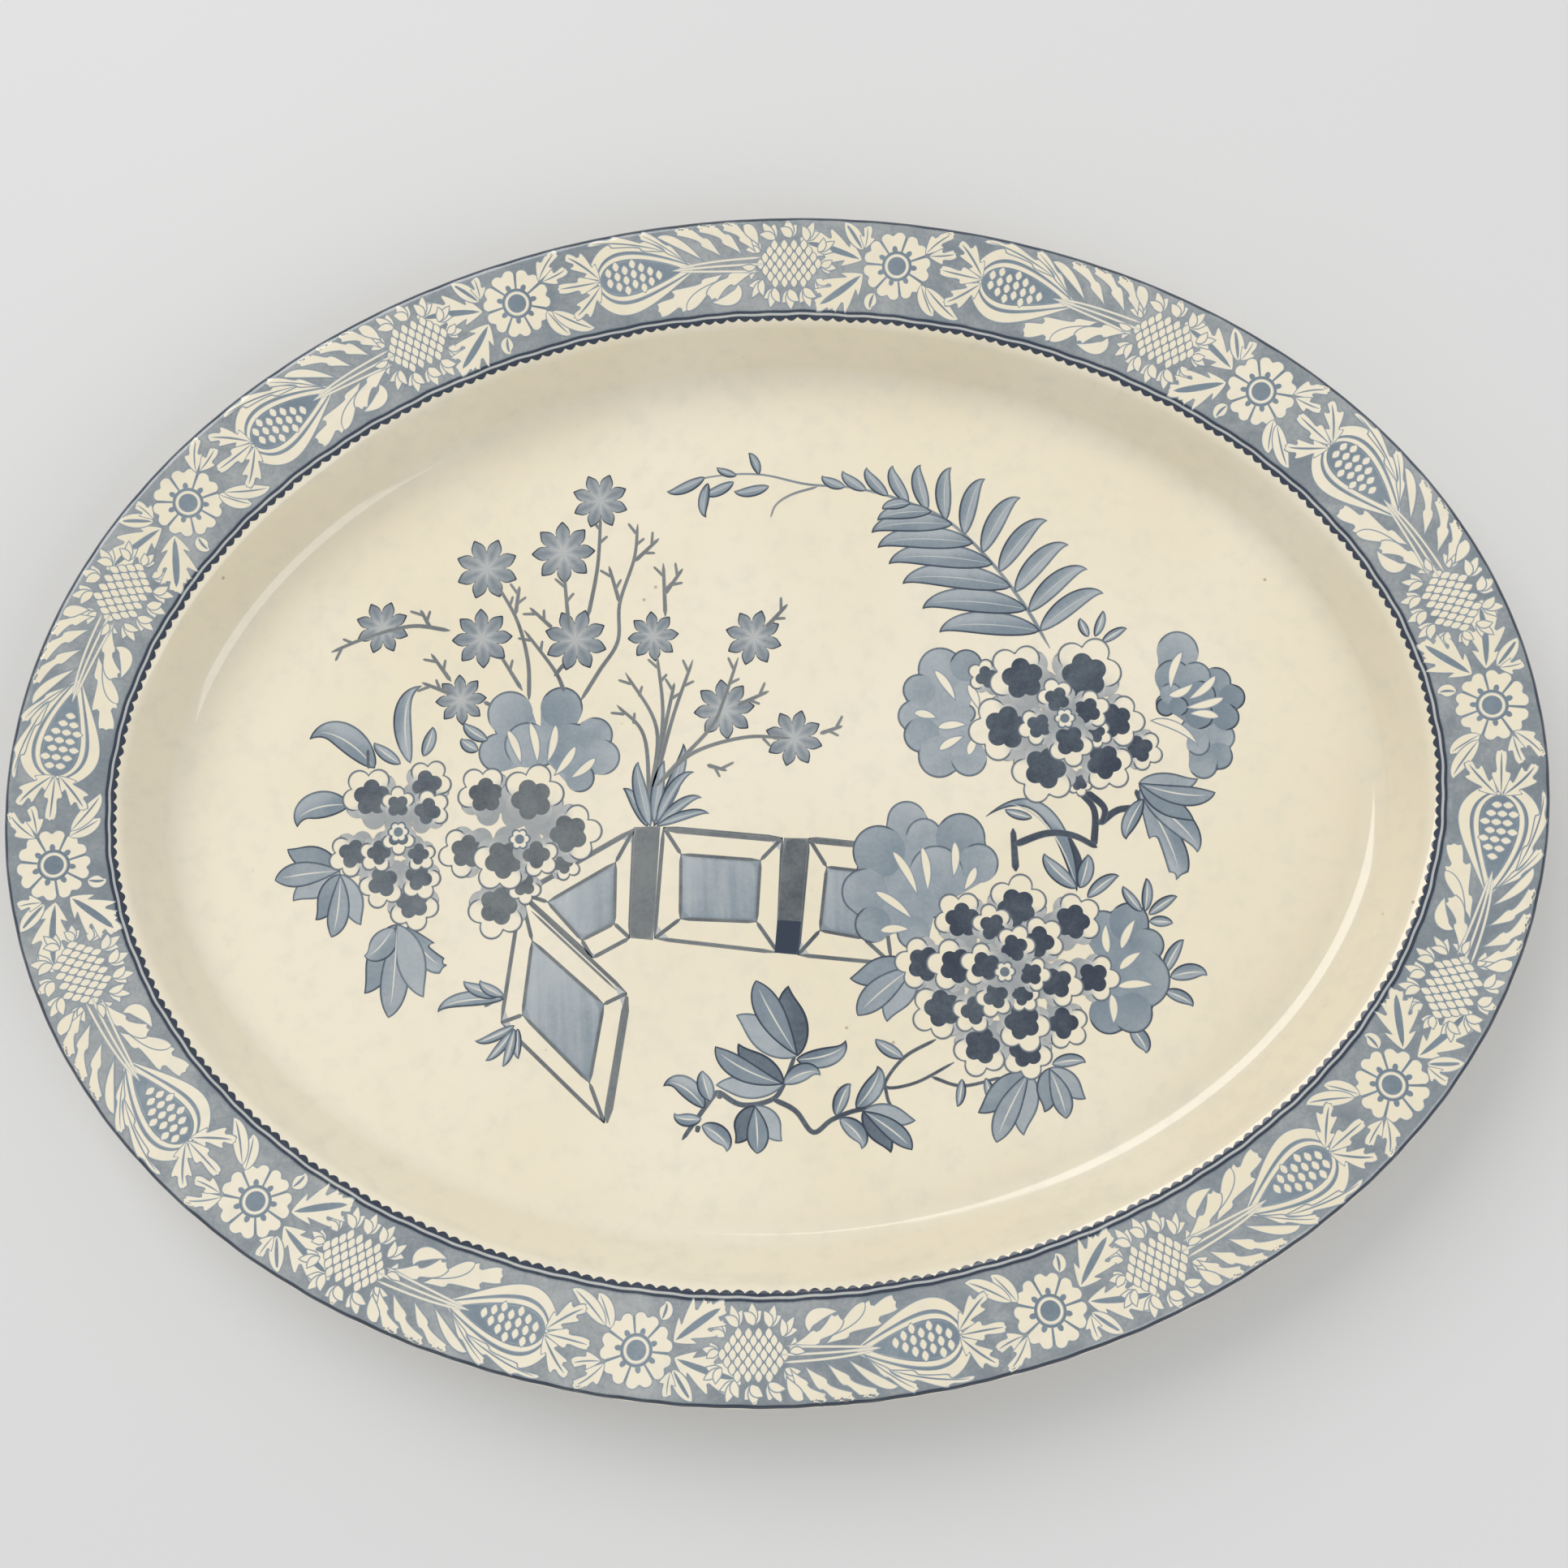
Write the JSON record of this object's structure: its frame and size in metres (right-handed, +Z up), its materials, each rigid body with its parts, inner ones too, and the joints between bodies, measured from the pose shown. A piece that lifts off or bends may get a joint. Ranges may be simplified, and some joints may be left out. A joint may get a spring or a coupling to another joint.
{
  "type": "serving platter",
  "caption": "Large oval china serving platter with a sloping rim, a steep cavetto, a broad flat well and an oval foot ring, for serving and displaying food.",
  "frame": {"origin": "middle of the oval, on the plane that the foot ring rests on", "axes": "+X along the platter's length, +Y across its width towards the edge that is uppermost when the printed design is upright, +Z up out of the well"},
  "size_m": [0.45, 0.349, 0.034],
  "materials": {
    "clay": "cream fired earthenware biscuit, matt and slightly gritty, bare only on the foot ring's tread",
    "glaze": "clear gloss glaze over a cream body, with a grey-blue underglaze print on the face"
  },
  "bodies": {
    "root": {"clay_body": "clay", "glaze_coat": "glaze", "recess_glaze": "glaze"}
  },
  "joints": []
}
